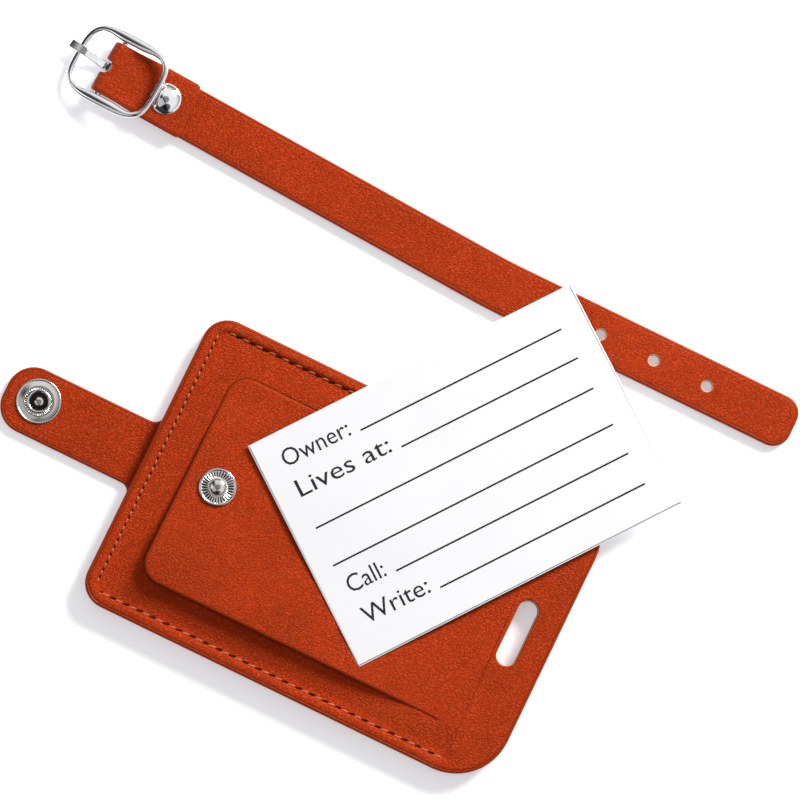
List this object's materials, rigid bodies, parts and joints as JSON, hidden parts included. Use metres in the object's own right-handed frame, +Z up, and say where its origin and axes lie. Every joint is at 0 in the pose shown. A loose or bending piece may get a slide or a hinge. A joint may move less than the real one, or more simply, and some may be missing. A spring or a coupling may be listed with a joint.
{
  "type": "luggage tag",
  "caption": "Leather luggage tag with a privacy flap over a card pocket, a snap closure tab, a strap slot, a loose address card and a buckled strap, laid out flat.",
  "frame": {"origin": "centre of the tag body's rectangle on its back face, at table height", "axes": "+Z up from the table, +X from the closure tab towards the strap slot, +Y from the tag body towards the loose strap"},
  "size_m": [0.1761, 0.1136, 0.0074],
  "materials": {
    "body_leather": "fine pebbled orange-brown leather with painted edges",
    "strap_leather": "fine pebbled orange-brown leather with painted edges",
    "board": "grey-brown fibre board",
    "lining": "dark brown woven lining",
    "film": "clear flexible film",
    "thread": "orange sewing thread",
    "snap_metal": "nickel plate with ribbed flanges",
    "spring_wire": "bright spring wire",
    "buckle_metal": "polished chrome",
    "card": "smooth white card stock with ruled lines"
  },
  "bodies": {
    "tag_body": {"back_cover": "body_leather", "stiffener_board": "board", "pocket_lining": "lining", "window_film": "film", "front_cover": "body_leather", "cover_stitches": "thread"},
    "tab_wrap": {"tab_wrap": "body_leather"},
    "tab": {"tab_strap": "body_leather", "snap_cap": "snap_metal", "snap_socket": "snap_metal", "socket_spring": "spring_wire"},
    "flap": {"privacy_flap": "body_leather", "snap_stud": "snap_metal", "stud_eyelet": "snap_metal"},
    "card": {"id_card": "card"},
    "strap_base": {"strap_tip": "strap_leather"},
    "strap_link_1": {"strap_link_1": "strap_leather"},
    "strap_link_2": {"strap_link_2": "strap_leather"},
    "strap_link_3": {"strap_link_3": "strap_leather"},
    "strap_link_4": {"strap_link_4": "strap_leather"},
    "buckle_end": {"strap_buckle_end": "strap_leather", "rivet_cap": "buckle_metal", "rivet_post": "buckle_metal"},
    "buckle": {"buckle_frame": "buckle_metal", "buckle_bar": "buckle_metal"},
    "tongue": {"buckle_tongue": "buckle_metal"}
  },
  "joints": [
    {"name": "flap_open", "type": "hinge", "parent": "tag_body", "child": "flap", "pos_m": [0.0337, 0, 0.0043], "axis": [0, 1, 0], "range_deg": [0, 160]},
    {"name": "card_tip", "type": "hinge", "parent": "tag_body", "child": "card", "pos_m": [0.05973, 0.0255, 0.0053], "axis": [0, 1, 0], "range_deg": [0, 160]},
    {"name": "tab_fold", "type": "hinge", "parent": "tag_body", "child": "tab_wrap", "pos_m": [-0.04917, 0, 0.0008], "axis": [0, 1, 0], "range_deg": [0, 90]},
    {"name": "tab_fold_outer", "type": "hinge", "parent": "tab_wrap", "child": "tab", "pos_m": [-0.05563, 0, 0.0008], "axis": [0, 1, 0], "range_deg": [0, 90]},
    {"name": "strap_slide", "type": "slide", "parent": "tag_body", "child": "strap_base", "axis": [0, 1, 0], "range_m": [0, 0.03]},
    {"name": "strap_bend_1", "type": "hinge", "parent": "strap_base", "child": "strap_link_1", "pos_m": [0.004, 0.0658, 0.00095], "axis": [0.0558, 0.9984, 0], "range_deg": [0, 40]},
    {"name": "strap_bend_2", "type": "hinge", "parent": "strap_link_1", "child": "strap_link_2", "pos_m": [-0.01397, 0.06681, 0.00095], "axis": [0.0558, 0.9984, 0], "range_deg": [0, 40]},
    {"name": "strap_bend_3", "type": "hinge", "parent": "strap_link_2", "child": "strap_link_3", "pos_m": [-0.03194, 0.06781, 0.00095], "axis": [0.0558, 0.9984, 0], "range_deg": [0, 40]},
    {"name": "strap_bend_4", "type": "hinge", "parent": "strap_link_3", "child": "strap_link_4", "pos_m": [-0.04992, 0.06881, 0.00095], "axis": [0.0558, 0.9984, 0], "range_deg": [0, 40]},
    {"name": "strap_bend_5", "type": "hinge", "parent": "strap_link_4", "child": "buckle_end", "pos_m": [-0.06789, 0.06982, 0.00095], "axis": [0.0558, 0.9984, 0], "range_deg": [0, 40]},
    {"name": "buckle_swing", "type": "hinge", "parent": "buckle_end", "child": "buckle", "pos_m": [-0.0914, 0.07113, 0.0019], "axis": [-0.0558, -0.9984, 0], "range_deg": [0, 110]},
    {"name": "tongue_swing", "type": "hinge", "parent": "buckle", "child": "tongue", "pos_m": [-0.0914, 0.07113, 0.0019], "axis": [0.0558, 0.9984, 0], "range_deg": [0, 100]}
  ],
  "couplings": [
    {"joint": "card_tip", "follows": "flap_open", "ratio": 1},
    {"joint": "tab_fold_outer", "follows": "tab_fold", "ratio": 1},
    {"joint": "strap_bend_2", "follows": "strap_bend_1", "ratio": 1},
    {"joint": "strap_bend_3", "follows": "strap_bend_1", "ratio": 1},
    {"joint": "strap_bend_4", "follows": "strap_bend_1", "ratio": 1},
    {"joint": "strap_bend_5", "follows": "strap_bend_1", "ratio": 1}
  ]
}
